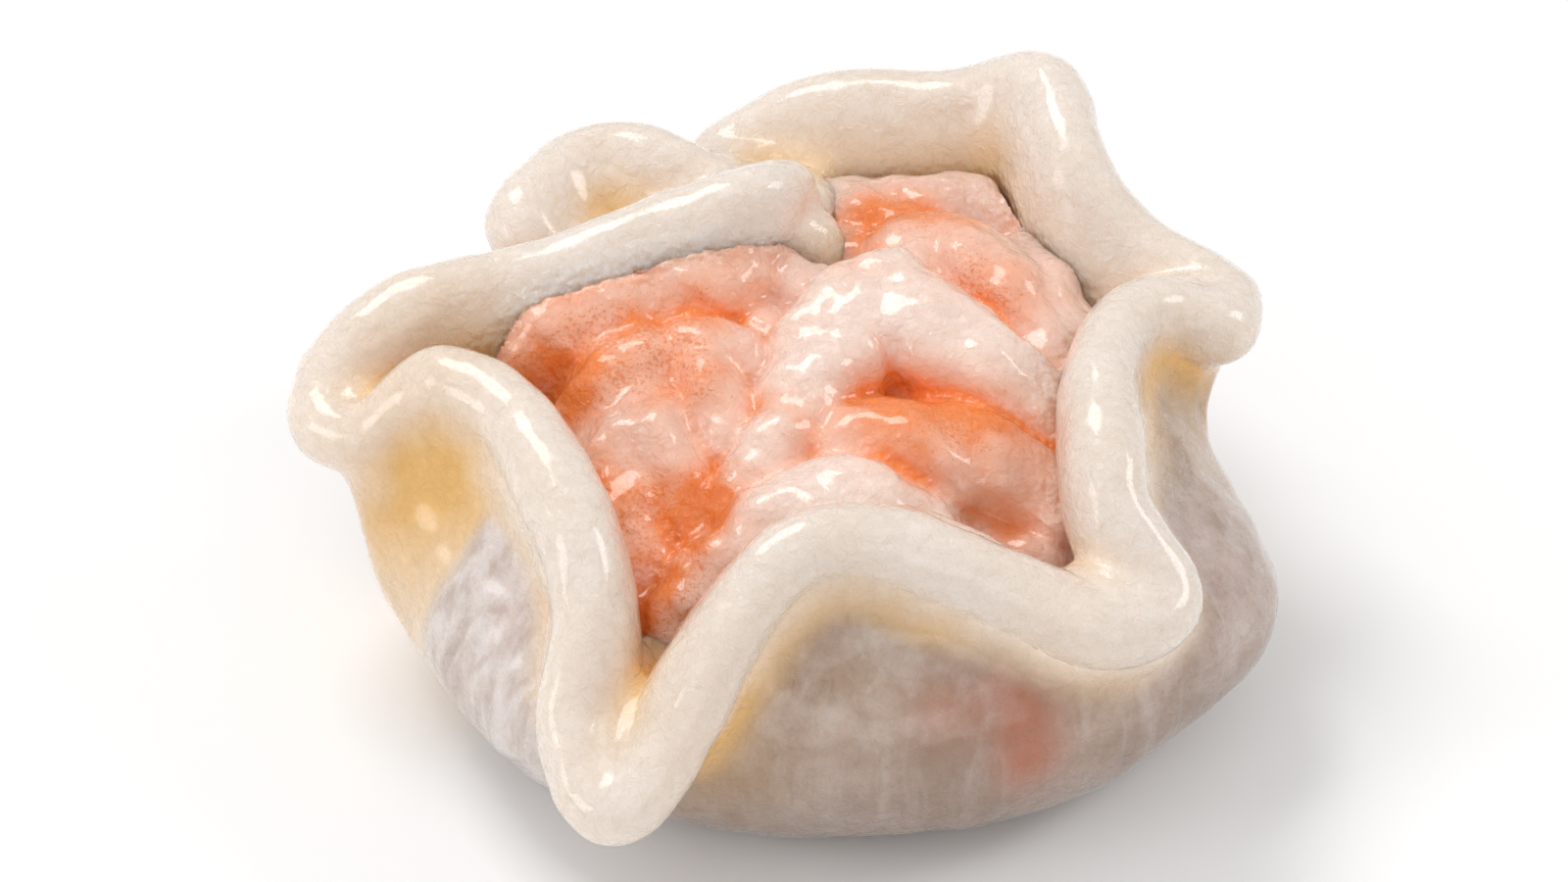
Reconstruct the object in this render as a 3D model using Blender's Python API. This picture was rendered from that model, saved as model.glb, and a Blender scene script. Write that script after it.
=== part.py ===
"""One open-topped steamed shrimp dumpling: a thick dough wrapper gathered up
round a filling of shrimp, its free edge thrown into six loose folds.

Lengths are millimetres until a mesh is made. +Z is up, the dumpling rests on
Z = 0, and the lowest fold hangs towards -Y, the front. The shape is worked
out about the body's own axis and moved by SHIFT when the meshes are made, so
that the origin is the middle of the footprint.
"""

import bmesh
import bpy
import numpy as np

MM = 0.001

# Driving dimensions
BASE_RADIUS = 14.0  # the flat that it rests on
BELLY_HEIGHT = 6.5  # where the body is widest
SKIN = 2.0  # dough over the filling
EDGE = 3.7  # dough at the swollen free edge
FOOT_PULL = 5.0  # how far the skin goes on up above the belly before it turns
EDGE_PULL = 5.0  # how far below the edge its curl begins
EDGE_TOP = 21.0  # nothing reaches higher
CORE_HEIGHT = 11.5  # middle of the minced filling
CLEAR = 0.3  # gap between touching pieces
FUSE = 0.5  # folds of dough closer than this grow together
KEPT_SHARE = 0.06  # part of the fused mesh that is kept
SHIFT = np.array((2.7, 1.9, 0.0))

DOUGH = (0.86, 0.78, 0.66)
MINCE = (0.84, 0.48, 0.30)
PINK = (0.88, 0.56, 0.44)
PALE = (0.88, 0.68, 0.58)
AMBER = (0.88, 0.50, 0.26)

# The free edge, clockwise from above: x, y, z of the middle of the rounded
# edge, and its curl in degrees, from 0 standing up to 90 lying outwards.
EDGE_POINTS = (
    # front petal, the lowest
    (-7.6, -21.6, 11.0, 55),
    (-10.6, -23.6, 8.8, 60),
    (-12.4, -20.4, 10.0, 55),
    (-12.1, -16.6, 12.8, 45),
    # left hollow
    (-12.1, -13.2, 15.0, 32),
    (-13.8, -8.4, 16.4, 30),
    (-16.8, -4.2, 17.0, 32),
    (-20.0, -2.6, 16.2, 45),
    # left petal
    (-23.0, -2.8, 13.2, 60),
    (-24.9, -1.0, 12.8, 60),
    (-23.6, 2.2, 14.5, 45),
    (-20.0, 4.2, 15.7, 35),
    # roll that leans in over the filling
    (-15.8, 5.4, 16.2, 35),
    (-11.0, 6.7, 17.2, 35),
    (-7.4, 7.8, 17.8, 30),
    (-4.0, 9.0, 18.4, 25),
    (-2.8, 10.8, 17.4, 20),
    (-4.8, 12.6, 15.0, 30),
    (-9.5, 11.6, 13.2, 40),
    (-13.0, 10.0, 13.2, 45),
    # back left petal
    (-15.6, 10.8, 14.6, 50),
    (-14.6, 13.8, 15.0, 50),
    (-11.4, 16.2, 15.2, 45),
    (-8.4, 15.2, 15.2, 40),
    (-6.2, 15.2, 14.0, 35),
    # back wall
    (-6.0, 18.4, 13.2, 40),
    (-3.6, 19.6, 14.4, 40),
    (0.4, 19.6, 15.8, 40),
    (5.4, 18.8, 16.7, 40),
    (8.2, 18.2, 17.8, 40),
    # back right petal
    (10.4, 17.0, 19.0, 45),
    (11.2, 14.2, 18.9, 40),
    (12.0, 11.2, 18.2, 35),
    (14.3, 8.6, 16.6, 35),
    (17.0, 6.6, 15.5, 40),
    # right petal
    (19.0, 4.4, 15.4, 50),
    (18.6, 2.4, 15.6, 55),
    (16.2, 2.4, 16.4, 45),
    # right hollow
    (13.7, 0.4, 17.2, 30),
    (12.6, -3.6, 17.4, 25),
    (12.6, -7.6, 16.9, 25),
    (13.2, -11.0, 15.6, 30),
    # front right petal
    (15.3, -14.4, 13.0, 50),
    (13.6, -15.6, 12.8, 55),
    (9.3, -14.8, 13.5, 50),
    (5.6, -14.2, 15.0, 38),
    # front hollow
    (2.0, -13.5, 16.0, 28),
    (-0.8, -13.8, 16.4, 25),
    (-3.4, -15.4, 15.8, 30),
    (-5.2, -17.8, 14.3, 45),
    (-6.4, -20.0, 12.8, 50),
)

# Where the skin under a point of the edge leaves the body: number of the
# point, degrees round from +X, and how far the skin swells out just above.
FEET = (
    (1, -115, 1.0),
    (5, -150, 0.0),
    (8, -168, 2.5),
    (12, -195, 1.0),
    (16, -225, 0.0),
    (21, -232, 1.0),
    (25, -250, 0.0),
    (30, -300, 0.5),
    (35, -350, -1.0),
    (42, -402, 0.5),
    (47, -452, 0.0),
)

# The body is not quite round: degrees from +X and radius at its widest.
BODY_POINTS = (
    (-165, 21.6),
    (-148, 21.7),
    (-130, 21.8),
    (-110, 20.5),
    (-90, 19.8),
    (-60, 20.6),
    (-38, 21.2),
    (-18, 21.4),
    (2, 17.8),
    (25, 18.0),
    (60, 19.0),
    (90, 19.0),
    (130, 19.6),
    (165, 20.8),
)

# Pieces of shrimp: x, y, z and radius along the bent middle line, the colour,
# and the pieces that lie on top and press into this one.
SHRIMPS = {
    "shrimp_centre": (
        (
            (-6.6, -7.4, 11.2, 1.9),
            (-3.4, -2.8, 12.6, 2.9),
            (-0.6, 1.2, 14.0, 4.0),
            (2.4, 3.4, 14.8, 4.7),
            (5.6, 1.0, 15.0, 4.5),
            (8.4, -2.0, 14.0, 3.9),
            (11.0, -4.2, 13.0, 3.0),
        ),
        PALE,
        (),
    ),
    "shrimp_front": (
        (
            (-9.0, -14.0, 9.0, 2.6),
            (-5.6, -11.4, 11.8, 3.4),
            (-0.8, -8.6, 13.2, 4.0),
            (2.6, -8.8, 13.0, 3.9),
            (6.0, -11.0, 10.6, 3.0),
        ),
        PALE,
        ("shrimp_centre",),
    ),
    "shrimp_left": (
        (
            (-8.2, 10.0, 11.0, 4.0),
            (-9.2, 5.0, 11.4, 5.6),
            (-9.4, 0.8, 11.8, 5.8),
            (-9.2, -4.2, 11.2, 4.6),
            (-9.6, -8.4, 9.6, 3.7),
            (-9.8, -12.6, 7.6, 2.8),
        ),
        PINK,
        ("shrimp_centre", "shrimp_front"),
    ),
    "shrimp_right": (
        (
            (1.4, 9.0, 12.4, 3.2),
            (5.0, 9.4, 13.4, 4.4),
            (8.8, 7.0, 13.2, 4.8),
            (11.2, 2.8, 12.6, 4.2),
            (12.6, -2.0, 11.2, 3.0),
        ),
        PINK,
        ("shrimp_centre",),
    ),
    "shrimp_back": (
        (
            (-3.6, 12.8, 11.4, 2.8),
            (0.0, 14.0, 13.0, 3.6),
            (3.6, 13.4, 13.4, 3.6),
            (7.0, 12.6, 12.8, 3.2),
            (9.6, 11.4, 11.6, 2.6),
        ),
        PINK,
        ("shrimp_right", "shrimp_centre"),
    ),
    "shrimp_middle": (
        (
            (-5.0, 10.0, 12.0, 2.8),
            (-3.8, 6.2, 12.8, 3.6),
            (-3.0, 2.6, 12.2, 3.4),
            (-3.0, -0.8, 11.0, 2.4),
        ),
        PALE,
        ("shrimp_centre", "shrimp_left", "shrimp_right", "shrimp_back"),
    ),
    "shrimp_low_right": (
        (
            (0.6, -4.4, 10.8, 3.0),
            (4.6, -5.2, 11.0, 4.0),
            (8.6, -6.2, 10.8, 4.2),
            (11.8, -8.0, 9.2, 3.2),
        ),
        AMBER,
        ("shrimp_centre", "shrimp_front", "shrimp_right"),
    ),
}


def unit(vectors):
    return vectors / np.linalg.norm(vectors, axis=-1, keepdims=True)


def closed_spline(knots, values, period, at):
    """Closed cubic curve through the values at the knots, read off at `at`.

    Its second derivative `bend` is found first, from the condition that the
    slopes of neighbouring spans agree at each knot.
    """
    gap = np.diff(np.append(knots, knots[0] + period))
    before = np.roll(gap, 1)
    slope = (np.roll(values, -1, 0) - values) / gap[:, None]
    rows = np.arange(len(knots))
    system = np.diag(2 * (gap + before))
    system[rows, (rows + 1) % len(knots)] += gap
    system[rows, rows - 1] += before
    bend = np.linalg.solve(system, 6 * (slope - np.roll(slope, 1, 0)))
    at = (at - knots[0]) % period + knots[0]
    i = np.searchsorted(knots, at, side="right") - 1
    j = (i + 1) % len(knots)
    width = gap[i][:, None]
    past = (at - knots[i])[:, None]
    left = width - past
    cubic = (bend[i] * left**3 + bend[j] * past**3) / (6 * width)
    start = (values[i] / width - bend[i] * width / 6) * left
    end = (values[j] / width - bend[j] * width / 6) * past
    return cubic + start + end


def free_edge(columns):
    """Middle of the free edge, its curl, and the foot of the skin below it.

    The columns crowd together where the edge bends.
    """
    points = np.array(EDGE_POINTS, float)
    steps = np.linalg.norm(np.roll(points, -1, 0)[:, :3] - points[:, :3], axis=1)
    knots = np.cumsum(steps) - steps
    period = steps.sum()
    fine = np.linspace(0, period, 2000, endpoint=False)
    path = closed_spline(knots, points, period, fine)[:, :3]
    step = np.roll(path, -1, 0) - path
    bend = np.linalg.norm(unit(step) - unit(np.roll(step, 1, 0)), axis=1)
    weight = np.linalg.norm(step, axis=1) + 3.0 * bend
    share = np.cumsum(weight) / weight.sum()
    at = np.interp(np.arange(columns) / columns, share, fine)
    path = closed_spline(knots, points, period, at)
    number, bearing, swell = np.array(FEET, float).T
    foot_at = knots[number.astype(int)]
    unwound = bearing + 360.0 * foot_at / period
    foot = closed_spline(foot_at, np.stack([unwound, swell], 1), period, at)
    bearing = np.radians(foot[:, 0] - 360.0 * at / period)
    return path[:, :3], np.radians(path[:, 3]), bearing, foot[:, 1]


def body_radius(bearing):
    at, radius = np.array(BODY_POINTS, float).T
    return closed_spline(at, radius[:, None], 360.0, np.degrees(bearing))[:, 0]


def compass(bearing):
    return np.stack([np.cos(bearing), np.sin(bearing), 0 * bearing], 1)


def sheet(columns, rise, corner=8):
    """Middle of the dough, by rows from the base out to the free edge.

    Each column is a flat, a quarter round up to the belly, and then a Bezier
    curve that leaves the body upwards and meets the edge along its curl.
    """
    edge, curl, bearing, swell = free_edge(columns)
    along = unit(np.roll(edge, -1, 0) - np.roll(edge, 1, 0))
    outward = unit(np.stack([-along[:, 1], along[:, 0], 0 * curl], 1))
    lean = outward * np.sin(curl)[:, None] + [0, 0, 1] * np.cos(curl)[:, None]
    around = compass(bearing)
    turn = np.linspace(0, np.pi / 2, corner)[:, None]
    spread = (body_radius(bearing) - BASE_RADIUS) * np.sin(turn)
    height = SKIN / 2 + (BELLY_HEIGHT - SKIN / 2) * (1 - np.cos(turn))
    flat = around * np.array([0.3, 0.7])[:, None, None] * BASE_RADIUS
    bowl = around * (BASE_RADIUS + spread)[..., None]
    bowl[..., 2] = height
    flat[..., 2] = SKIN / 2
    low = bowl[-1] + [0, 0, FOOT_PULL] + around * swell[:, None]
    high = edge - EDGE_PULL * lean
    t = np.linspace(0, 1, rise + 1)[1:, None, None]
    wall = (
        (1 - t) ** 3 * bowl[-1]
        + 3 * (1 - t) ** 2 * t * low
        + 3 * (1 - t) * t**2 * high
        + t**3 * edge
    )
    return np.concatenate([flat, bowl, wall]), lean


def wrapper_rows(columns=300, rise=20, bead=8):
    """Wrapper surface: up the outside, over the rounded edge, down the inside."""
    middle, lean = sheet(columns, rise)
    up = np.gradient(middle, axis=0)
    along = np.roll(middle, -1, 1) - np.roll(middle, 1, 1)
    normal = unit(np.cross(up, along))
    normal[:2] = [0, 0, -1]
    share = np.clip(1 - np.arange(len(middle))[::-1] / rise, 0, 1)
    half = (SKIN + (EDGE - SKIN) * share**1.5)[:, None, None] / 2
    last = normal[-1]
    ridge = unit(lean - (lean * last).sum(1, keepdims=True) * last)
    turn = np.linspace(0, np.pi, bead + 1)[1:-1, None, None]
    rounded = middle[-1] + EDGE / 2 * (np.cos(turn) * last + np.sin(turn) * ridge)
    outside = middle + half * normal
    inside = (middle - half * normal)[::-1]
    return np.concatenate([outside, rounded, inside])


def inside_wrapper(points, wall, gap):
    """Draw points in towards the axis until they clear the wall by the gap."""
    reach = np.hypot(wall[:, 0], wall[:, 1])
    bearing = np.arctan2(wall[:, 1], wall[:, 0])
    kept = []
    for x, y, z in points:
        turn = (bearing - np.arctan2(y, x) + np.pi) % (2 * np.pi) - np.pi
        room = gap**2 - (turn * reach) ** 2 - (wall[:, 2] - z) ** 2
        near = (room > 0) & (np.abs(turn) < 1)
        limit = (reach - np.sqrt(np.maximum(room, 0)))[near].min(initial=99.0)
        scale = min(1.0, limit / np.hypot(x, y))
        kept.append((x * scale, y * scale, z))
    return np.array(kept)


def core_top(x, y):
    """Height of the minced filling: a low dome with soft lumps."""
    lumps = np.sin(0.55 * x + 0.8) * np.sin(0.6 * y - 0.4)
    return CORE_HEIGHT - (x**2 + y**2) * 0.008 + 0.5 * lumps


def core_rows(wall, columns=36, sides=5, dome=5):
    """Minced filling, from its base up the sides and in over the dome."""
    around = compass(np.linspace(0, 2 * np.pi, columns, endpoint=False))
    radius = body_radius(np.arctan2(around[:, 1], around[:, 0]))
    foot = BASE_RADIUS - 1
    low = SKIN + 0.5
    shoulder = CORE_HEIGHT - 2.5
    rows = [around * foot * 0.5 + [0, 0, low], around * foot + [0, 0, low]]
    for t in np.linspace(0, 1, sides + 1)[1:]:
        out = foot + (radius - BASE_RADIUS) * np.sin(t * np.pi / 2)
        height = low + (shoulder - low) * t**1.3
        ring = around * out[:, None] + [0, 0, height]
        rows.append(inside_wrapper(ring, wall, 1.1))
    for f in np.linspace(1, 0, dome + 1)[1:-1]:
        ring = rows[sides + 1] * [f, f, 0]
        top = core_top(ring[:, 0], ring[:, 1])
        ring[:, 2] = shoulder * f**3 + top * (1 - f**3)
        rows.append(ring)
    return np.stack(rows)


def room_rows(wall, columns=60, rows=14):
    """The room inside the wrapper, from within the filling to above the edge."""
    around = compass(np.linspace(0, 2 * np.pi, columns, endpoint=False))
    radius = body_radius(np.arctan2(around[:, 1], around[:, 0]))
    wide = around * (radius - SKIN)[:, None]
    heights = np.linspace(CORE_HEIGHT - 4, EDGE_TOP, rows)
    return np.stack([inside_wrapper(wide + [0, 0, z], wall, 1.1) for z in heights])


def floor_rows(columns=36, dome=10):
    """A slab whose top lies just above the minced filling."""
    around = compass(np.linspace(0, 2 * np.pi, columns, endpoint=False))
    rows = [around * 15.0, around * 30.0]
    for f in np.linspace(1, 0, dome + 1)[:-1]:
        ring = around * 26.0 * f
        ring[:, 2] = core_top(ring[:, 0], ring[:, 1]) + CLEAR
        rows.append(ring)
    return np.stack(rows)


def eased(points):
    """Round off a path by cutting its corners three times; its ends stay."""
    for _ in range(3):
        early = points[:-1] * 0.75 + points[1:] * 0.25
        late = points[:-1] * 0.25 + points[1:] * 0.75
        cut = np.stack([early, late], 1).reshape(-1, points.shape[1])
        points = np.concatenate([points[:1], cut, points[-1:]])
    return points


def shrimp_rows(path, grow=0.0, rings=13, columns=12):
    """A tapering tube with round ends and soft lumps along an eased path."""
    path = eased(np.array(path, float))
    steps = np.linalg.norm(np.diff(path[:, :3], axis=0), axis=1)
    length = np.append(0, np.cumsum(steps))
    at = length[-1] * (1 - np.cos(np.linspace(0, np.pi, rings))) / 2
    spine = np.stack([np.interp(at, length, column) for column in path.T], 1)
    along = unit(np.gradient(spine[:, :3], axis=0))
    side = unit(np.cross(along, [0, 0, 1.0]))
    up = np.cross(side, along)
    spine[:, :3] += along * grow * np.linspace(-1, 1, rings)[:, None] ** 5
    radius = spine[:, 3] + grow
    from_end = np.clip(np.minimum(at, length[-1] - at) / radius, 0, 1)
    radius = radius * np.sqrt(np.clip(1 - (1 - from_end) ** 2, 0.03, 1))
    turn = np.linspace(0, 2 * np.pi, columns, endpoint=False)
    twist = at[:, None]
    lumps = np.sin(2 * turn + 0.7 * twist) * np.sin(1.1 * twist + turn)
    wide = (radius[:, None] * (1 + 0.06 * lumps))[..., None]
    ring = np.cos(turn)[:, None] * side[:, None] + np.sin(turn)[:, None] * up[:, None]
    return spine[:, None, :3] + wide * ring


def closed_mesh(name, rows):
    """Mesh of a grid whose rows are rings, with a point closing each end."""
    count, columns = rows.shape[:2]
    points = np.concatenate([rows.reshape(-1, 3), [rows[0].mean(0), rows[-1].mean(0)]])
    here = np.arange(columns)
    beside = (here + 1) % columns
    faces = []
    for row in range(count - 1):
        low, high = row * columns, (row + 1) * columns
        strip = np.stack([low + here, high + here, high + beside, low + beside], 1)
        faces += strip.tolist()
    last = (count - 1) * columns
    first_pole = np.full(columns, len(points) - 2)
    faces += np.stack([here, beside, first_pole], 1).tolist()
    faces += np.stack([last + beside, last + here, first_pole + 1], 1).tolist()
    mesh = bpy.data.meshes.new(name)
    mesh.from_pydata(((points + SHIFT) * MM).tolist(), [], faces)
    shell = bmesh.new()
    shell.from_mesh(mesh)
    bmesh.ops.recalc_face_normals(shell, faces=shell.faces)
    shell.to_mesh(mesh)
    shell.free()
    mesh.shade_smooth()
    return mesh


def place(name, rows):
    obj = bpy.data.objects.new(name, closed_mesh(name, rows))
    bpy.context.scene.collection.objects.link(obj)
    return obj


def guide(name, rows):
    """A shape that only trims others."""
    obj = place(name, rows)
    obj.hide_render = True
    obj.display_type = "WIRE"
    return obj


def paint(obj, colour, roughness):
    look = bpy.data.materials.new(obj.name)
    look.use_nodes = True
    shader = look.node_tree.nodes["Principled BSDF"]
    shader.inputs["Base Color"].default_value = (*colour, 1.0)
    shader.inputs["Roughness"].default_value = roughness
    shader.inputs["Metallic"].default_value = 0.0
    obj.data.materials.append(look)


def trim(obj, other, operation="DIFFERENCE"):
    step = obj.modifiers.new(other.name, "BOOLEAN")
    step.operation = operation
    step.object = other


def fuse(wrapper):
    """Let pressed folds of dough grow together, then thin out the mesh."""
    join = wrapper.modifiers.new("fuse folds", "REMESH")
    join.mode = "VOXEL"
    join.voxel_size = FUSE * MM
    join.use_smooth_shade = True
    ease = wrapper.modifiers.new("ease", "SMOOTH")
    ease.factor = 0.5
    ease.iterations = 6
    thin = wrapper.modifiers.new("thin out", "DECIMATE")
    thin.ratio = KEPT_SHARE


def main():
    for obj in list(bpy.data.objects):
        bpy.data.objects.remove(obj)
    wrapper = place("wrapper", wrapper_rows())
    paint(wrapper, DOUGH, 0.3)
    fuse(wrapper)
    wall = wrapper_rows(260, 26, 6).reshape(-1, 3)
    paint(place("minced_core", core_rows(wall)), MINCE, 0.35)
    room = guide("room", room_rows(wall))
    floor = guide("floor", floor_rows())
    grown = {}
    for name, (path, _, _) in SHRIMPS.items():
        grown[name] = guide(name + "_clearance", shrimp_rows(path, CLEAR))
    for name, (path, colour, above) in SHRIMPS.items():
        piece = place(name, shrimp_rows(path))
        paint(piece, colour, 0.25)
        for other in above:
            trim(piece, grown[other])
        trim(piece, room, "INTERSECT")
        trim(piece, floor)


main()
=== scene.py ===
"""One open-topped steamed shrimp dumpling, dressed for looks round its CAD frame.

Shapes are worked out in millimetres about the body's own axis. SHIFT and MM
bring them to the frame, in metres, when a mesh is made.
"""

import bpy
import numpy as np
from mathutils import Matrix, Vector, kdtree


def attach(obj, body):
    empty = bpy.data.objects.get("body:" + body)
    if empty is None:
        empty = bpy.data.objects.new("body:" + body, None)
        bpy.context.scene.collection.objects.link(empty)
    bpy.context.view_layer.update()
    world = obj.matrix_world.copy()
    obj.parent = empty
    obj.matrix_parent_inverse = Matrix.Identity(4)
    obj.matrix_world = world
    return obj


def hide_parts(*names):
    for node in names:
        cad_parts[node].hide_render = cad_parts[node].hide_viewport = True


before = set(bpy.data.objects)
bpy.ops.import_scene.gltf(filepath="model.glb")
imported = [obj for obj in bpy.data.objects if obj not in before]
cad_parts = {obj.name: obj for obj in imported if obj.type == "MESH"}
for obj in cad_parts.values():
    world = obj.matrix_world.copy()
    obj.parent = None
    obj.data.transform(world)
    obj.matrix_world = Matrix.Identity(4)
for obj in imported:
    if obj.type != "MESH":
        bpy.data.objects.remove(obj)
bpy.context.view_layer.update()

# The wrapper is one round of wheat starch dough, gathered up round the filling
# by hand. In the steam its free edge swells and falls into six loose folds, and
# folds that are pressed together grow into one.
MM = 0.001
SHIFT = np.array((2.7, 1.9, 0.0))
BASE_RADIUS = 14.0  # the flat that it rests on
BELLY_HEIGHT = 6.5  # where the body is widest
SKIN = 2.0  # dough over the filling
EDGE = 3.7  # dough at the swollen free edge
THIN_BELOW = 0.3  # share of the way up the wall where the dough starts to swell
THICK_ABOVE = 0.8  # and where it is as thick as the edge
FOOT_PULL = 5.0  # how far the skin goes on up above the belly before it turns
EDGE_PULL = 5.0  # how far below the edge its curl begins
THIN_FOLD = (-9.0, -19.5, 11.0)  # round here the edge is thinner
THINNED = 0.15  # by this share
THIN_REACH = 6.0  # and out to about here
DOUGH_GRAIN = 0.33  # size of the fused skin's facets
DOUGH_EASING = 8  # rounds that take the steps off the fused skin
VALLEY_ROUNDS = 85  # how softly the dough fills its own valleys
VALLEY_DEPTH = 0.25  # a point that easing lifts by this is wholly in a valley

# The free edge, clockwise from above: x, y, z of the middle of the rounded
# edge, and its curl in degrees, from 0 standing up to 90 lying outwards.
EDGE_POINTS = (
    # front petal, the lowest
    (-7.6, -21.6, 11.0, 55),
    (-10.6, -23.6, 8.8, 60),
    (-12.4, -20.4, 10.0, 55),
    (-12.1, -16.6, 12.8, 45),
    # left hollow
    (-12.1, -13.2, 15.0, 32),
    (-13.8, -8.4, 16.4, 22),
    (-16.8, -4.2, 17.0, 8),
    (-20.0, -2.6, 16.2, 2),
    # left petal
    (-23.0, -2.8, 13.2, 30),
    (-24.9, -1.0, 12.8, 52),
    (-23.6, 2.2, 14.5, 45),
    (-20.0, 4.2, 15.7, 35),
    # roll that leans in over the filling
    (-15.8, 5.4, 16.2, 35),
    (-11.0, 6.7, 17.2, 35),
    (-7.4, 7.8, 17.8, 30),
    (-4.0, 9.0, 18.4, 25),
    (-2.8, 10.8, 17.4, 20),
    (-4.8, 12.6, 15.0, 30),
    (-9.5, 11.6, 13.2, 40),
    (-13.0, 10.0, 13.2, 45),
    # back left petal
    (-15.6, 10.8, 14.6, 50),
    (-14.6, 13.8, 15.0, 50),
    (-11.4, 16.2, 15.2, 45),
    (-8.4, 15.2, 15.2, 40),
    (-6.2, 15.2, 14.0, 35),
    # back wall
    (-6.0, 18.4, 13.2, 40),
    (-3.6, 19.6, 14.4, 40),
    (0.4, 19.6, 15.8, 40),
    (5.4, 18.8, 16.7, 40),
    (8.2, 18.2, 17.8, 40),
    # back right petal
    (10.4, 17.0, 19.0, 45),
    (11.2, 14.2, 18.9, 40),
    (12.0, 11.2, 18.2, 35),
    (14.3, 8.6, 16.6, 35),
    (17.0, 6.6, 15.5, 40),
    # right petal
    (19.0, 4.4, 15.4, 50),
    (18.6, 2.4, 15.6, 55),
    (16.2, 2.4, 16.4, 45),
    # right hollow
    (13.7, 0.4, 17.2, 30),
    (12.6, -3.6, 17.4, 25),
    (12.6, -7.6, 16.9, 25),
    (13.2, -11.0, 15.6, 30),
    # front right petal
    (15.3, -14.4, 13.0, 50),
    (13.6, -15.6, 12.8, 55),
    (9.3, -14.8, 13.5, 50),
    (5.6, -14.2, 15.0, 38),
    # front hollow
    (2.0, -13.5, 16.0, 28),
    (-0.8, -13.8, 16.4, 25),
    (-3.4, -15.4, 15.8, 30),
    (-5.2, -17.8, 14.3, 45),
    (-6.4, -20.0, 12.8, 50),
)

# Where the skin under a point of the edge leaves the body: number of the
# point, degrees round from +X, and how far the skin swells out just above.
FEET = (
    (1, -115, 1.0),
    (5, -150, 0.0),
    (8, -168, 2.5),
    (12, -195, 1.0),
    (16, -225, 0.0),
    (21, -232, 1.0),
    (25, -250, 0.0),
    (30, -300, 0.5),
    (35, -350, -1.0),
    (42, -402, 0.5),
    (47, -452, 0.0),
)

# The body is not quite round: degrees from +X and radius at its widest.
BODY_POINTS = (
    (-165, 21.6),
    (-148, 21.7),
    (-130, 21.8),
    (-110, 20.5),
    (-90, 19.8),
    (-60, 20.6),
    (-38, 21.2),
    (-18, 21.4),
    (2, 17.8),
    (25, 18.0),
    (60, 19.0),
    (90, 19.0),
    (130, 19.6),
    (165, 20.8),
)


def unit(vectors):
    """v / |v|."""
    return vectors / np.linalg.norm(vectors, axis=-1, keepdims=True)


def closed_spline(knots, values, period, at):
    """Closed cubic curve through the values at the knots, read off at `at`.

    Its second derivative `bend` solves: slopes of neighbouring spans agree at
    each knot. In a span of width w, with l left of it and p past it, the curve
    is (bend0 l^3 + bend1 p^3) / 6w + (v0/w - bend0 w/6) l + (v1/w - bend1 w/6) p.
    """
    gap = np.diff(np.append(knots, knots[0] + period))
    before = np.roll(gap, 1)
    slope = (np.roll(values, -1, 0) - values) / gap[:, None]
    rows = np.arange(len(knots))
    system = np.diag(2 * (gap + before))
    system[rows, (rows + 1) % len(knots)] += gap
    system[rows, rows - 1] += before
    bend = np.linalg.solve(system, 6 * (slope - np.roll(slope, 1, 0)))
    at = (at - knots[0]) % period + knots[0]
    i = np.searchsorted(knots, at, side="right") - 1
    j = (i + 1) % len(knots)
    width = gap[i][:, None]
    past = (at - knots[i])[:, None]
    left = width - past
    cubic = (bend[i] * left**3 + bend[j] * past**3) / (6 * width)
    start = (values[i] / width - bend[i] * width / 6) * left
    end = (values[j] / width - bend[j] * width / 6) * past
    return cubic + start + end


def free_edge(columns):
    """Middle of the free edge, its curl, and the foot of the skin below it.

    Columns stand where the running sum of step + 3 mm x turn (in radians)
    reaches equal shares, so they crowd together where the edge bends.
    """
    points = np.array(EDGE_POINTS, float)
    steps = np.linalg.norm(np.roll(points, -1, 0)[:, :3] - points[:, :3], axis=1)
    knots = np.cumsum(steps) - steps
    period = steps.sum()
    fine = np.linspace(0, period, 2000, endpoint=False)
    path = closed_spline(knots, points, period, fine)[:, :3]
    step = np.roll(path, -1, 0) - path
    bend = np.linalg.norm(unit(step) - unit(np.roll(step, 1, 0)), axis=1)
    weight = np.linalg.norm(step, axis=1) + 3.0 * bend
    share = np.cumsum(weight) / weight.sum()
    at = np.interp(np.arange(columns) / columns, share, fine)
    path = closed_spline(knots, points, period, at)
    number, bearing, swell = np.array(FEET, float).T
    foot_at = knots[number.astype(int)]
    unwound = bearing + 360.0 * foot_at / period
    foot = closed_spline(foot_at, np.stack([unwound, swell], 1), period, at)
    bearing = np.radians(foot[:, 0] - 360.0 * at / period)
    return path[:, :3], np.radians(path[:, 3]), bearing, foot[:, 1]


def body_radius(bearing):
    """Radius of the belly at a bearing: the closed curve through BODY_POINTS."""
    at, radius = np.array(BODY_POINTS, float).T
    return closed_spline(at, radius[:, None], 360.0, np.degrees(bearing))[:, 0]


def compass(bearing):
    """(cos b, sin b, 0)."""
    return np.stack([np.cos(bearing), np.sin(bearing), 0 * bearing], 1)


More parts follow.
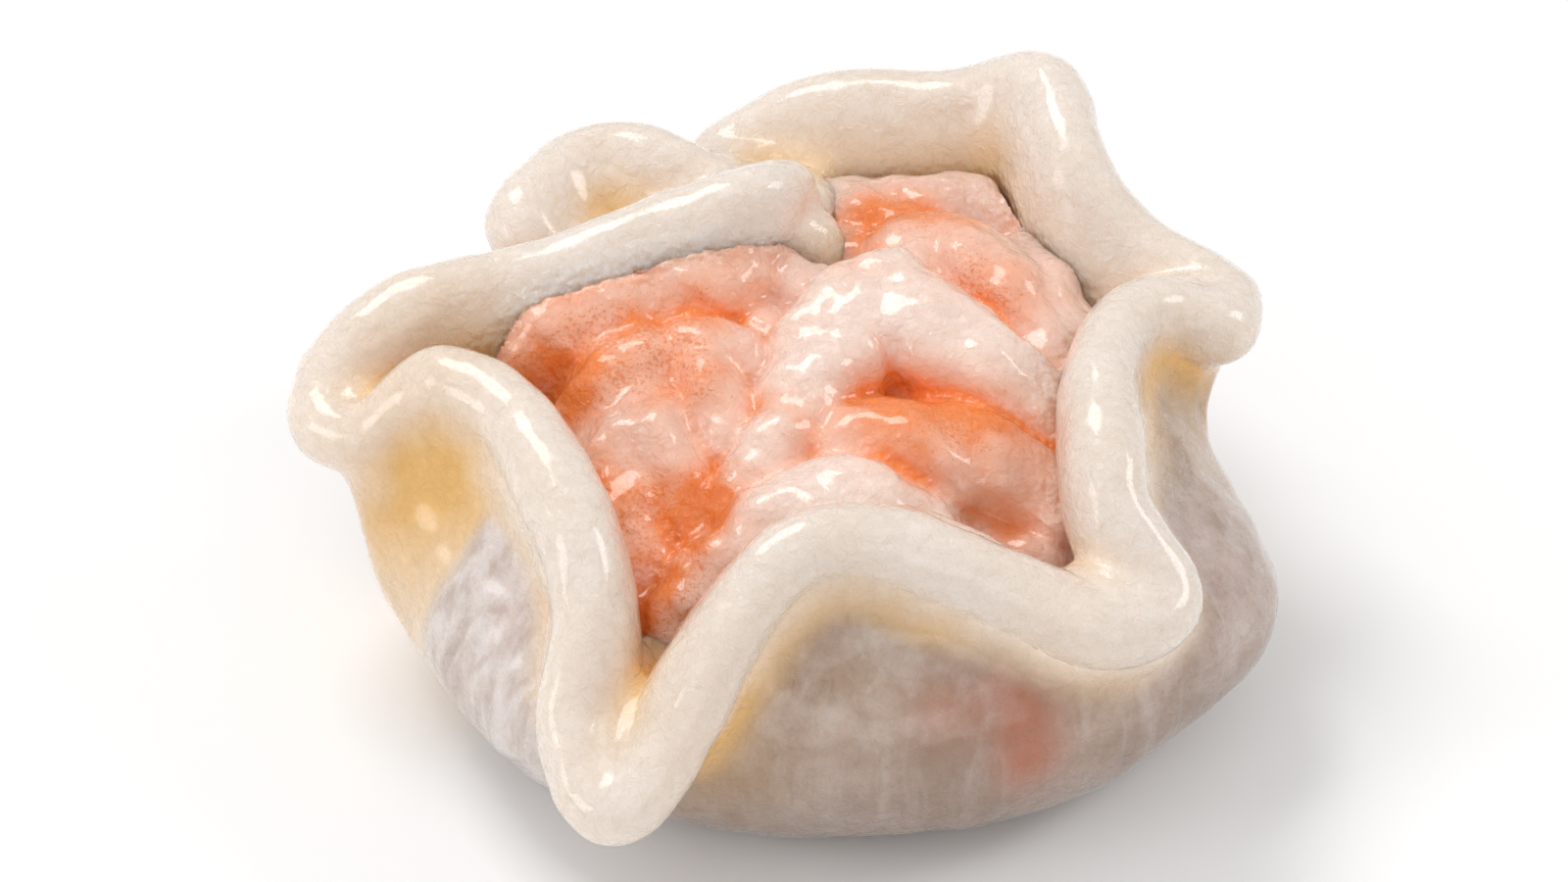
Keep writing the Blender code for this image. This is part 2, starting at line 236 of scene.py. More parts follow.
def sheet(columns, rise, corner):
    """Middle of the dough, by rows from the base out to the free edge.

    Each column is a flat, a quarter round up to the belly, and then a Bezier
    curve (1-t)^3 a + 3(1-t)^2 t b + 3(1-t) t^2 c + t^3 d that leaves the body
    upwards and meets the edge along its curl.
    """
    edge, curl, bearing, swell = free_edge(columns)
    along = unit(np.roll(edge, -1, 0) - np.roll(edge, 1, 0))
    outward = unit(np.stack([-along[:, 1], along[:, 0], 0 * curl], 1))
    lean = outward * np.sin(curl)[:, None] + [0, 0, 1] * np.cos(curl)[:, None]
    around = compass(bearing)
    turn = np.linspace(0, np.pi / 2, corner)[:, None]
    spread = (body_radius(bearing) - BASE_RADIUS) * np.sin(turn)
    height = SKIN / 2 + (BELLY_HEIGHT - SKIN / 2) * (1 - np.cos(turn))
    flat = around * np.array([0.3, 0.7])[:, None, None] * BASE_RADIUS
    bowl = around * (BASE_RADIUS + spread)[..., None]
    bowl[..., 2] = height
    flat[..., 2] = SKIN / 2
    low = bowl[-1] + [0, 0, FOOT_PULL] + around * swell[:, None]
    high = edge - EDGE_PULL * lean
    t = np.linspace(0, 1, rise + 1)[1:, None, None]
    wall = (
        (1 - t) ** 3 * bowl[-1]
        + 3 * (1 - t) ** 2 * t * low
        + 3 * (1 - t) * t**2 * high
        + t**3 * edge
    )
    return np.concatenate([flat, bowl, wall]), lean


def outward_normals(middle):
    """Unit cross product of the steps up and along the sheet."""
    up = np.gradient(middle, axis=0)
    along = np.roll(middle, -1, 1) - np.roll(middle, 1, 1)
    normal = unit(np.cross(up, along))
    normal[:2] = [0, 0, -1]
    return normal


def wall_share(middle, rise):
    """For each row, 0 up to the belly and then evenly up to 1 at the free edge."""
    return np.clip(1 - np.arange(len(middle))[::-1] / rise, 0, 1)


def wrapper_rows(columns, rise, bead, corner=16):
    """Wrapper surface: middle + half x normal, a half round, middle - half x normal."""
    middle, lean = sheet(columns, rise, corner)
    normal = outward_normals(middle)
    share = wall_share(middle, rise)
    full = np.clip((share - THIN_BELOW) / (THICK_ABOVE - THIN_BELOW), 0, 1)
    from_fold = ((middle[-1] - THIN_FOLD) ** 2).sum(1, keepdims=True)
    swollen = EDGE * (1 - THINNED * np.exp(-from_fold / THIN_REACH**2))
    full = (full**2 * (3 - 2 * full))[:, None, None]
    half = (SKIN + (swollen - SKIN) * full) / 2
    last = normal[-1]
    ridge = unit(lean - (lean * last).sum(1, keepdims=True) * last)
    turn = np.linspace(0, np.pi, bead + 1)[1:-1, None, None]
    rounded = middle[-1] + swollen / 2 * (np.cos(turn) * last + np.sin(turn) * ridge)
    outside = middle + half * normal
    inside = (middle - half * normal)[::-1]
    return np.concatenate([outside, rounded, inside])


def ring_grid(rows):
    """Points and faces of a grid whose rows are rings, with a fan closing each end."""
    count, columns = rows.shape[:2]
    ends = [rows[0].mean(0), rows[-1].mean(0)]
    points = np.concatenate([rows.reshape(-1, 3), ends])
    here = np.arange(columns)
    beside = (here + 1) % columns
    low = (np.arange(count - 1) * columns)[:, None]
    high = low + columns
    quads = np.stack([low + here, high + here, high + beside, low + beside], 2)
    last = (count - 1) * columns
    fans = [
        np.stack([here, beside, 0 * here + len(points) - 2], 1),
        np.stack([last + beside, last + here, 0 * here + len(points) - 1], 1),
    ]
    faces = quads.reshape(-1, 4).tolist() + fans[0].tolist() + fans[1].tolist()
    return points, faces


def solid(name, shells):
    """Object made of one or more closed ring grids."""
    points, faces, first = [], [], 0
    for rows in shells:
        new_points, new_faces = ring_grid(rows)
        points.append(new_points)
        faces += [[first + corner for corner in face] for face in new_faces]
        first += len(new_points)
    mesh = bpy.data.meshes.new(name)
    mesh.from_pydata(((np.concatenate(points) + SHIFT) * MM).tolist(), [], faces)
    mesh.shade_smooth()
    obj = bpy.data.objects.new(name, mesh)
    bpy.context.scene.collection.objects.link(obj)
    return obj


def settle(obj):
    """Give the object the mesh that its modifiers make, and drop them."""
    shape = obj.evaluated_get(bpy.context.evaluated_depsgraph_get())
    mesh = bpy.data.meshes.new_from_object(shape)
    obj.modifiers.clear()
    obj.data = mesh
    mesh.name = obj.name
    mesh.shade_smooth()


def fuse(obj, grain, rounds):
    """One skin round all the overlapping shells of the object, then eased."""
    join = obj.modifiers.new("grow together", "REMESH")
    join.mode = "VOXEL"
    join.voxel_size = grain * MM
    ease = obj.modifiers.new("ease", "SMOOTH")
    ease.factor = 0.5
    ease.iterations = rounds
    settle(obj)


def read(mesh, what="co"):
    """Vertex places in millimetres about the body's axis, or unit normals."""
    values = np.zeros(len(mesh.vertices) * 3, np.float32)
    if what == "co":
        mesh.vertices.foreach_get("co", values)
        return values.reshape(-1, 3).astype(float) / MM - SHIFT
    mesh.vertex_normals.foreach_get("vector", values)
    return values.reshape(-1, 3).astype(float)


def move(mesh, points):
    """Put the vertices at these places, in millimetres about the body's axis."""
    mesh.vertices.foreach_set("co", ((points + SHIFT) * MM).astype(np.float32).ravel())
    mesh.update()


def waves(points, length, seed, count=28):
    """Soft random swell: sum of cos(k.p + phase) with |k| near 2 pi / length."""
    rng = np.random.default_rng(seed)
    k = unit(rng.normal(size=(count, 3))) * (2 * np.pi / length)
    k *= rng.uniform(0.7, 1.35, (count, 1))
    phase = rng.uniform(0, 2 * np.pi, count)
    return np.cos(points @ k.T + phase).sum(1) / np.sqrt(count / 2)


def eased(points):
    """Round off a path by cutting its corners three times; its ends stay."""
    for _ in range(3):
        early = points[:-1] * 0.75 + points[1:] * 0.25
        late = points[:-1] * 0.25 + points[1:] * 0.75
        cut = np.stack([early, late], 1).reshape(-1, points.shape[1])
        points = np.concatenate([points[:1], cut, points[-1:]])
    return points


def softened(mesh, points, rounds):
    """Each point moved 0.6 of the way to its neighbours' mean, over and over."""
    pairs = np.zeros(len(mesh.edges) * 2, np.int32)
    mesh.edges.foreach_get("vertices", pairs)
    a, b = pairs.reshape(-1, 2).T
    ends, others = np.append(a, b), np.append(b, a)
    number = np.bincount(ends, minlength=len(points))
    soft = points.copy()
    for _ in range(rounds):
        total = [np.bincount(ends, soft[others, axis], len(points)) for axis in (0, 1, 2)]
        soft = 0.4 * soft + 0.6 * np.stack(total, 1) / number[:, None]
    return soft


def curvature(mesh, points, normals, rounds):
    """How far easing moves each point out along its normal: above 0 in a valley."""
    return ((softened(mesh, points, rounds) - points) * normals).sum(1)


def round_ended(path, shares):
    """x, y, z and radius at shares of an eased path's length, and the lengths.

    Near an end the radius r becomes r sqrt(1 - (1 - e/r)^2), e from the end.
    """
    path = eased(np.array(path, float))
    steps = np.linalg.norm(np.diff(path[:, :3], axis=0), axis=1)
    length = np.append(0, np.cumsum(steps))
    at = length[-1] * shares
    spine = np.stack([np.interp(at, length, column) for column in path.T], 1)
    from_end = np.clip(np.minimum(at, length[-1] - at) / spine[:, 3], 0, 1)
    spine[:, 3] *= np.sqrt(np.clip(1 - (1 - from_end) ** 2, 0.002, 1))
    return spine, at


def tube_rows(path, rings, columns, lumps=0.0):
    """Rings round a path with round ends, closer together towards the ends.

    The radius swells and sinks by the share `lumps` in soft knobs.
    """
    spine, at = round_ended(path, (1 - np.cos(np.linspace(0, np.pi, rings))) / 2)
    along = unit(np.gradient(spine[:, :3], axis=0))
    side = unit(np.cross(along, [0, 0, 1.0]))
    up = np.cross(side, along)
    radius = spine[:, 3]
    turn = np.linspace(0, 2 * np.pi, columns, endpoint=False)
    twist = at[:, None]
    knobs = np.sin(2 * turn + 0.7 * twist) * np.sin(1.1 * twist + turn)
    wide = (radius[:, None] * (1 + lumps * knobs))[..., None]
    ring = np.cos(turn)[:, None] * side[:, None] + np.sin(turn)[:, None] * up[:, None]
    return spine[:, None, :3] + wide * ring


# Strings of dough that stuck: from the roll's inner end down to the filling
# and across to the back wall, a thin second lip inside the front hollow, the
# ridge that the left petal makes down the body, and the floor of the front fold.
STRINGS = (
    (
        (-3.0, 9.4, 16.6, 1.7),
        (-1.6, 9.6, 15.4, 1.9),
        (-0.9, 9.2, 14.0, 1.9),
        (-1.6, 7.6, 12.6, 1.8),
    ),
    (
        (-2.8, 11.2, 15.8, 1.6),
        (-1.2, 12.6, 14.2, 1.8),
        (-2.0, 15.4, 13.0, 1.8),
        (-3.0, 18.0, 12.6, 1.6),
    ),
    (
        (-2.4, -13.2, 16.2, 0.7),
        (1.0, -11.8, 16.3, 0.75),
        (4.2, -11.6, 15.5, 0.75),
        (7.2, -12.4, 14.5, 0.7),
        (10.2, -13.6, 13.4, 0.6),
    ),
    (
        (-21.0, -1.0, 12.6, 2.2),
        (-21.4, -3.0, 10.6, 2.4),
        (-20.5, -5.0, 8.6, 2.6),
        (-19.1, -7.2, 6.2, 2.6),
        (-17.2, -9.4, 4.2, 2.2),
    ),
    (
        (-8.4, -12.6, 8.6, 1.8),
        (-8.9, -15.2, 8.8, 2.0),
        (-9.2, -18.0, 8.0, 2.0),
        (-9.4, -20.4, 7.4, 1.6),
    ),
)
dough_shells = [wrapper_rows(columns=720, rise=46, bead=20)]
dough_shells += [tube_rows(string, rings=60, columns=32) for string in STRINGS]
wrapper = solid("dough_wrapper", dough_shells)
fuse(wrapper, DOUGH_GRAIN, DOUGH_EASING)
dough = read(wrapper.data)
facing = read(wrapper.data, "normal")
soft = softened(wrapper.data, dough, VALLEY_ROUNDS)
lifted = ((soft - dough) * facing).sum(1)
dough += (soft - dough) * np.clip(lifted / VALLEY_DEPTH, 0, 1)[:, None]  # crests are kept
move(wrapper.data, dough)
facing = read(wrapper.data, "normal")
swell = 0.10 * waves(dough, length=9.0, seed=1)
swell += 0.03 * waves(dough, length=2.6, seed=2)
swell *= np.clip(dough[:, 2] / SKIN, 0, 1)  # the base stays flat
dough += facing * swell[:, None]
move(wrapper.data, dough)
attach(wrapper, "root")
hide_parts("wrapper")


# The shrimp are cut and whole pieces laid in by hand, each bent over the next.
# They are soft: each one is pressed in by the wall where it leans on it, and its
# muscle swells in lobes. A lobe's rows are x, y, z and radius along its middle.
LOBES = {
    "shrimp_centre": (
        (
            (-8.0, -11.0, 9.6, 1.8),
            (-4.5, -7.2, 12.0, 2.4),
            (-2.2, -3.6, 13.2, 2.9),
            (-0.6, 0.4, 14.0, 3.4),
            (0.8, 3.4, 14.6, 3.4),
            (2.6, 4.2, 14.8, 3.4),
            (5.4, 3.6, 14.0, 3.2),
        ),
        (
            (-1.6, 3.6, 14.0, 3.0),
            (1.6, 3.6, 14.7, 3.5),
            (4.6, 1.8, 14.9, 3.3),
            (7.0, -0.2, 14.2, 3.0),
            (9.5, -2.0, 12.9, 2.7),
            (12.5, -4.0, 11.0, 2.4),
        ),
    ),
    "shrimp_front": (
        (
            (-9.0, -14.0, 8.6, 2.4),
            (-6.3, -11.4, 9.8, 2.9),
            (-3.2, -9.4, 12.0, 3.2),
            (0.2, -8.0, 12.8, 3.4),
            (2.8, -9.0, 12.2, 3.3),
            (4.8, -10.6, 10.6, 2.8),
            (7.0, -13.0, 8.6, 2.4),
        ),
    ),
    "shrimp_left": (
        (
            (-8.2, 10.0, 11.0, 4.0),
            (-10.2, 5.0, 11.2, 5.0),
            (-9.6, 0.8, 11.2, 5.0),
            (-9.4, -4.2, 10.4, 4.4),
            (-9.6, -8.4, 9.2, 3.6),
            (-10.0, -14.0, 7.0, 2.8),
        ),
        (
            (-17.0, 2.4, 12.6, 2.8),
            (-11.6, 4.4, 14.0, 3.0),
            (-7.4, 5.4, 14.6, 3.0),
            (-3.0, 7.4, 14.6, 2.8),
        ),
        (
            (-9.6, 2.6, 13.6, 2.4),
            (-6.8, 2.0, 14.0, 2.5),
            (-4.4, 0.8, 13.4, 2.3),
            (-2.8, -0.8, 11.8, 2.0),
        ),
        (
            (-7.2, 2.4, 13.4, 2.4),
            (-5.8, -2.0, 13.5, 2.5),
            (-4.6, -5.4, 11.8, 2.2),
        ),
        (
            (-10.0, 2.5, 13.2, 2.4),
            (-9.0, -2.6, 13.2, 2.4),
            (-8.0, -5.5, 12.4, 2.4),
            (-6.4, -9.4, 10.2, 2.2),
        ),
        (
            (-12.2, -1.4, 11.8, 2.4),
            (-10.3, -7.2, 10.9, 2.4),
            (-9.0, -11.0, 8.6, 2.2),
        ),
    ),
    "shrimp_right": (
        (
            (0.4, 9.0, 12.6, 3.2),
            (5.0, 8.6, 13.4, 3.8),
            (8.0, 5.6, 13.2, 3.8),
            (9.9, 1.8, 12.0, 3.4),
            (12.0, -2.6, 10.2, 2.8),
        ),
        (
            (2.2, 4.8, 14.4, 2.2),
            (4.6, 7.7, 14.8, 2.3),
            (6.8, 11.4, 13.8, 2.2),
        ),
        (
            (7.6, 11.0, 12.8, 2.6),
            (10.4, 5.6, 13.6, 2.6),
            (11.8, 0.6, 11.8, 2.4),
        ),
    ),
    "shrimp_back": (
        (
            (-5.0, 12.4, 11.0, 2.6),
            (0.0, 13.6, 12.4, 2.8),
            (3.6, 13.0, 12.9, 2.8),
            (7.0, 12.8, 13.0, 2.9),
            (10.8, 11.2, 12.0, 2.8),
        ),
        (
            (-0.4, 14.2, 13.0, 2.0),
            (2.6, 11.4, 13.8, 2.2),
            (5.6, 9.4, 13.4, 2.0),
        ),
        (
            (-3.8, 11.0, 12.0, 2.2),
            (0.0, 10.2, 13.0, 2.4),
            (3.2, 8.4, 13.4, 2.4),
        ),
    ),
    "shrimp_middle": (
        (
            (-5.4, 11.4, 11.6, 2.8),
            (-4.6, 6.2, 12.6, 3.1),
            (-3.4, 3.6, 12.9, 3.1),
            (-2.0, 1.2, 12.5, 2.8),
            (-2.6, -2.2, 10.6, 2.2),
        ),
        (
            (-7.6, 9.0, 12.8, 2.8),
            (-4.6, 8.0, 13.8, 2.8),
            (-1.6, 5.6, 13.4, 2.6),
            (1.6, 6.0, 13.6, 2.6),
        ),
    ),
    "shrimp_low_right": (
        (
            (-2.4, -3.4, 11.4, 3.2),
            (0.8, -4.2, 12.7, 3.3),
            (4.0, -4.6, 12.8, 3.4),
            (7.6, -4.8, 12.2, 3.3),
            (10.4, -6.2, 10.6, 2.8),
            (13.4, -9.0, 8.4, 2.4),
        ),
        (
            (0.0, -6.4, 10.2, 2.8),
            (6.8, -7.6, 10.2, 2.8),
            (12.0, -10.0, 8.4, 2.4),
        ),
    ),
}
SNUG = 0.08  # gap that is left between the filling and the dough
FINGER = 0.6  # radius of the ball that feels its way along the wall
ROOM_BASE = 2.5  # floor of the room inside the dough
ROOM_TOP = 21.0
ROOM_STEP = 0.7  # between the heights at which the room is felt out


def inside_wrapper(points, wall, gap):
    """Draw points in towards the axis until they clear the wall by the gap."""
    reach = np.hypot(wall[:, 0], wall[:, 1])
    bearing = np.arctan2(wall[:, 1], wall[:, 0])
    kept = []
    for x, y, z in points:
        turn = (bearing - np.arctan2(y, x) + np.pi) % (2 * np.pi) - np.pi
        room = gap**2 - (turn * reach) ** 2 - (wall[:, 2] - z) ** 2
        near = (room > 0) & (np.abs(turn) < 1)
        limit = (reach - np.sqrt(np.maximum(room, 0)))[near].min(initial=99.0)
        kept.append(min(np.hypot(x, y), limit))
    return np.array(kept)


def read_table(table, x, y, x_step, y_step, y_round=False):
    """Value at (x, y) between the nearest four entries of an evenly spaced table."""
    u = np.clip(x / x_step, 0, len(table) - 1.001)
    i = u.astype(int)
    f = u - i
    v = y / y_step
    v = v % table.shape[1] if y_round else np.clip(v, 0, table.shape[1] - 1.001)
    j = v.astype(int)
    g = v - j
    k = (j + 1) % table.shape[1]
    low = table[i, j] * (1 - g) + table[i, k] * g
    high = table[i + 1, j] * (1 - g) + table[i + 1, k] * g
    return low * (1 - f) + high * f


wall = wrapper_rows(columns=400, rise=40, bead=8, corner=12).reshape(-1, 3)
room_bearings = np.linspace(0, 2 * np.pi, 180, endpoint=False)
start = compass(room_bearings) * (body_radius(room_bearings) - SKIN / 2)[:, None]
room = np.stack([
    inside_wrapper(start + [0, 0, z], wall, FINGER)
    for z in np.arange(ROOM_BASE, ROOM_TOP, ROOM_STEP)
])


def room_radius(bearing, z):
    """How far out the filling may reach at a bearing and height."""
    turn = bearing % (2 * np.pi)
    step = 2 * np.pi / len(room_bearings)
    return read_table(room, z - ROOM_BASE, turn, ROOM_STEP, step, True) - SNUG + FINGER


def press_in(rows):
    """Bring points outside the room in to its wall: r becomes min(r, room)."""
    out = np.hypot(rows[..., 0], rows[..., 1])
    limit = room_radius(np.arctan2(rows[..., 1], rows[..., 0]), rows[..., 2])
    scale = np.minimum(1, limit / np.maximum(out, 0.01))
    return rows * np.stack([scale, scale, 1 + 0 * scale], -1)


def depth_in(points, balls):
    """Distance to the nearest ball's skin: min of |p - c| - r, below 0 inside."""
    nearest = np.full(len(points), 99.0)
    for x, y, z, r in balls:
        nearest = np.minimum(nearest, np.linalg.norm(points - [x, y, z], axis=1) - r)
    return nearest


# Where the flesh turned orange in the steam: x, y, z, radius and strength.
BLUSHES = (
    (-10.8, 0.5, 15.5, 3.6, 1.0),
    (-13.5, 0.5, 14.0, 3.0, 1.0),
    (-7.6, 2.4, 16.6, 2.4, 0.7),
    (-6.8, -1.6, 16.0, 2.0, 0.8),
    (-9.0, -10.4, 11.0, 3.8, 2.2),
    (-9.9, -6.4, 13.0, 1.8, 0.6),
    (-5.7, -7.4, 13.4, 1.8, 0.9),
    (-3.2, -2.6, 14.8, 1.3, 0.5),
    (-2.0, -5.0, 15.0, 1.8, 0.5),
    (2.6, -3.0, 14.8, 2.3, 1.0),
    (7.0, -4.2, 14.2, 2.3, 1.1),
    (4.0, -5.3, 14.5, 2.8, 0.9),
    (10.5, -5.0, 13.2, 1.8, 0.8),
    (8.0, -8.5, 12.0, 2.0, 0.5),
    (6.8, 5.0, 16.5, 2.4, 0.9),
    (8.4, 3.4, 15.8, 1.6, 0.5),
    (2.4, 10.4, 15.8, 2.6, 1.1),
    (5.6, 8.6, 16.6, 2.0, 0.6),
    (0.4, 4.6, 17.6, 1.4, 0.4),
    (-2.3, 1.4, 14.5, 1.8, 0.9),
    (-4.6, 5.6, 15.2, 2.2, 0.6),
    # three that show through the front skin
    (4.9, -18.6, 10.2, 1.5, 0.6),
    (8.4, -18.4, 10.6, 1.9, 1.1),
    (8.8, -19.2, 7.8, 1.8, 1.0),
)


def blush(points):
    """Sum of strength x exp(-(distance / radius)^2) over the orange patches."""
    total = np.zeros(len(points))
    for x, y, z, radius, strength in BLUSHES:
        away = ((points - [x, y, z]) ** 2).sum(1)
        total += strength * np.exp(-away / radius**2)
    return np.clip(total, 0, 1)


def set_attribute(mesh, name, values):
    """One number for each vertex, for the material to read."""
    layer = mesh.attributes.new(name, "FLOAT", "POINT")
    layer.data.foreach_set("value", np.asarray(values, np.float32))


def node(tree, kind, inputs=(), **settings):
    """A node with its settings, and its inputs set to values or wired to sockets."""
    made = tree.nodes.new(kind)
    for name, value in settings.items():
        setattr(made, name, value)
    for name, value in dict(inputs).items():
        if isinstance(value, bpy.types.NodeSocket):
            tree.links.new(value, made.inputs[name])
        else:
            made.inputs[name].default_value = value
    return made


def math(tree, operation, a, b=0.0, clamp=False):
    """The sum, difference, product or share of a and b, numbers or sockets."""
    made = node(tree, "ShaderNodeMath", {0: a, 1: b}, operation=operation, use_clamp=clamp)
    return made.outputs[0]


def ramp(tree, value, low, high):
    """0 below low, 1 above high, smooth between."""
    made = node(
        tree,
        "ShaderNodeMapRange",
        {"Value": value, "From Min": low, "From Max": high},
        interpolation_type="SMOOTHSTEP",
    )
    return made.outputs[0]


def mix(tree, share, first, second):
    """first where share is 0, second where it is 1."""
    made = node(tree, "ShaderNodeMix", {"Factor": share}, data_type="RGBA")
    for socket, value in ((made.inputs[6], first), (made.inputs[7], second)):
        if isinstance(value, bpy.types.NodeSocket):
            tree.links.new(value, socket)
        else:
            socket.default_value = (*value, 1.0)
    return made.outputs[2]


def noise(tree, place, scale, detail=2.0, roughness=0.5, distortion=0.0):
    """Cloudy noise, with about `scale` clouds to the metre."""
    made = node(
        tree,
        "ShaderNodeTexNoise",
        {
            "Vector": place,
            "Scale": scale,
            "Detail": detail,
            "Roughness": roughness,
            "Distortion": distortion,
        },
    )
    return made.outputs[0]


def object_place(tree):
    """Each spot's place in metres, in the piece's own frame."""
    return node(tree, "ShaderNodeTexCoord").outputs["Object"]


def attribute(tree, name):
    """The piece's own number of this name, spot by spot."""
    return node(tree, "ShaderNodeAttribute", attribute_name=name).outputs["Fac"]


def new_material(name):
    """An empty material: returns it and its tree."""
    made = bpy.data.materials.new(name)
    made.use_nodes = True
    made.node_tree.nodes.clear()
    return made, made.node_tree


def finish_material(tree, colour, roughness, height, depth, values):
    """Shader with a damp coat, its colour and its relief `depth` metres deep."""
    bump = node(tree, "ShaderNodeBump", {"Height": height, "Distance": depth})
    shader = node(tree, "ShaderNodeBsdfPrincipled", values, subsurface_method="BURLEY")
    tree.links.new(colour, shader.inputs["Base Color"])
    tree.links.new(bump.outputs[0], shader.inputs["Normal"])
    shader.inputs["Roughness"].default_value = roughness
    node(tree, "ShaderNodeOutputMaterial", {"Surface": shader.outputs[0]})


def group_of(name, inputs, outputs):
    """An empty node group, with inputs (name, kind, default) and outputs (name, kind)."""
    group = bpy.data.node_groups.new(name, "ShaderNodeTree")
    for label, kind, default in inputs:
        socket = group.interface.new_socket(label, in_out="INPUT", socket_type=kind)
        if kind == "NodeSocketFloat":
            socket.default_value = default
    for label, kind in outputs:
        group.interface.new_socket(label, in_out="OUTPUT", socket_type=kind)
    given = group.nodes.new("NodeGroupInput").outputs
    put_out = group.nodes.new("NodeGroupOutput").inputs
    return group, given, put_out


# A damp skin, for shrimp and dough alike: fine dimples and ripples, and beads of
# wet where Wet is 1. Size makes them all larger.
damp_skin, given, put_out = group_of(
    "damp skin",
    (
        ("Place", "NodeSocketVector", None),
        ("Size", "NodeSocketFloat", 1.0),
        ("Wet", "NodeSocketFloat", 0.0),
    ),
    (("Height", "NodeSocketFloat"), ("Blotch", "NodeSocketFloat")),
)
sized = node(
    damp_skin,
    "ShaderNodeVectorMath",
    {0: given["Place"], "Scale": math(damp_skin, "DIVIDE", 1.0, given["Size"])},
    operation="SCALE",
).outputs[0]
ripples = noise(damp_skin, sized, 1700.0, 3.0, 0.6, 0.8)
dimples = noise(damp_skin, sized, 520.0, 2.0, 0.5)
blotch = noise(damp_skin, sized, 160.0, 3.0, 0.55)
beads = node(
    damp_skin,
    "ShaderNodeTexVoronoi",
    {"Vector": sized, "Scale": 2300.0, "Smoothness": 0.5},
    feature="SMOOTH_F1",
).outputs["Distance"]
beads = math(damp_skin, "MULTIPLY", math(damp_skin, "SUBTRACT", 1.0, beads), given["Wet"])
height = math(damp_skin, "MULTIPLY", ripples, 0.8)
height = math(damp_skin, "ADD", height, math(damp_skin, "MULTIPLY", dimples, 0.2))
height = math(damp_skin, "ADD", height, math(damp_skin, "MULTIPLY", beads, 1.3))
damp_skin.links.new(height, put_out["Height"])
damp_skin.links.new(blotch, put_out["Blotch"])


def damp(tree, place, size, wet):
    """The damp skin's height and blotch; `wet` is a number or a socket."""
    made = node(tree, "ShaderNodeGroup", node_tree=damp_skin)
    tree.links.new(place, made.inputs["Place"])
    made.inputs["Size"].default_value = size
    if isinstance(wet, bpy.types.NodeSocket):
        tree.links.new(wet, made.inputs["Wet"])
    else:
        made.inputs["Wet"].default_value = wet
    return made.outputs["Height"], made.outputs["Blotch"]


PALE = (0.94, 0.74, 0.64)
PINK = (0.93, 0.58, 0.45)
ORANGE = (0.92, 0.25, 0.06)
SPECK = (0.80, 0.20, 0.03)


def flesh(name):
    """Wet shrimp: pale flesh, orange in creases and patches, with orange specks."""
    material, tree = new_material(name)
    place = object_place(tree)
    groove = ramp(tree, attribute(tree, "crease"), 0.02, 0.35)
    at_wall = attribute(tree, "at_wall")
    patch = attribute(tree, "blush")
    wet = math(tree, "ADD", math(tree, "MULTIPLY", groove, 0.9), at_wall, clamp=True)
    grain, blotch = damp(tree, place, 1.0, math(tree, "ADD", wet, 0.12))
    cloud = ramp(tree, blotch, 0.35, 0.68)
    fine = noise(tree, place, 700.0, 4.0, 0.6)
    tint = math(tree, "MULTIPLY", patch, 1.1)
    tint = math(tree, "ADD", tint, math(tree, "MULTIPLY", groove, 0.5))
    tint = math(tree, "ADD", tint, math(tree, "MULTIPLY", at_wall, 0.18))
    tint = math(tree, "MULTIPLY", tint, math(tree, "ADD", cloud, 0.45), clamp=True)
    colour = mix(tree, attribute(tree, "tone"), PALE, PINK)
    colour = mix(tree, tint, colour, ORANGE)
    pits = noise(tree, place, 5200.0, 2.0, 0.6)
    strong = math(tree, "MULTIPLY", patch, math(tree, "ADD", fine, 0.4))
    limit = math(tree, "SUBTRACT", 0.82, math(tree, "MULTIPLY", strong, 0.32))
    specks = ramp(tree, math(tree, "SUBTRACT", pits, limit), 0.0, 0.05)
    specks = math(tree, "MULTIPLY", specks, 0.6)
    colour = mix(tree, specks, colour, SPECK)
    finish_material(
        tree,
        colour,
        roughness=0.2,
        height=grain,
        depth=0.0004,
        values={
            "Subsurface Weight": 1.0,
            "Subsurface Radius": (1.0, 0.42, 0.25),
            "Subsurface Scale": 0.0016,
            "IOR": 1.38,
            "Coat Weight": 1.0,
            "Coat IOR": 1.42,
            "Coat Roughness": 0.05,
        },
    )
    return material


BALLS_EACH = np.linspace(0, 1, 48)  # shares of its length at which a lobe has a ball
balls = {
    name: np.concatenate([round_ended(lobe, BALLS_EACH)[0] for lobe in lobes])
    for name, lobes in LOBES.items()
}


# The minced shrimp is packed under the pieces. In the steam it swells up
# between them, so that it fills their creases almost to the top.
CORE_HEIGHT = 11.5  # at the axis
CORE_FALL = 0.008  # times the distance from the axis squared, it lies lower
CORE_EASE = 0.8  # how widely the tops of the pieces are blurred into one another
CORE_DROP = 1.0  # how far it stays below those blurred tops
CLIMB = 1.4  # how far it climbs the wall
CLIMB_WIDTH = 0.9  # and how soon that fades
CORE_REACH = 0.1  # how far past the room its sides start, to be pressed back in
FIELD_STEP = 0.25  # between the spots where its height is worked out
FIELD_HALF = 22.0
FLESH_GRAIN = 0.22  # size of the fused filling's facets
FLESH_EASING = 4  # rounds that take the steps off it
CREASE_ROUNDS = 50  # rounds of easing that tell crease from crest
CREASE_GAIN = 0.8  # how much deeper the creases are made
WALL_FADE = 0.7  # how soon the wet along the wall fades


def eased_field(field, step, spread):
    """Blur by exp(-(d / spread)^2 / 2) along each axis in turn."""
    reach = int(3 * spread / step)
    kernel = np.exp(-((np.arange(-reach, reach + 1) * step / spread) ** 2) / 2)
    kernel /= kernel.sum()
    for axis in (0, 1):
        margin = [(reach, reach) if a == axis else (0, 0) for a in (0, 1)]
        padded = np.pad(field, margin, "edge")
        field = sum(
            w * np.take(padded, np.arange(field.shape[axis]) + i, axis)
            for i, w in enumerate(kernel)
        )
    return field


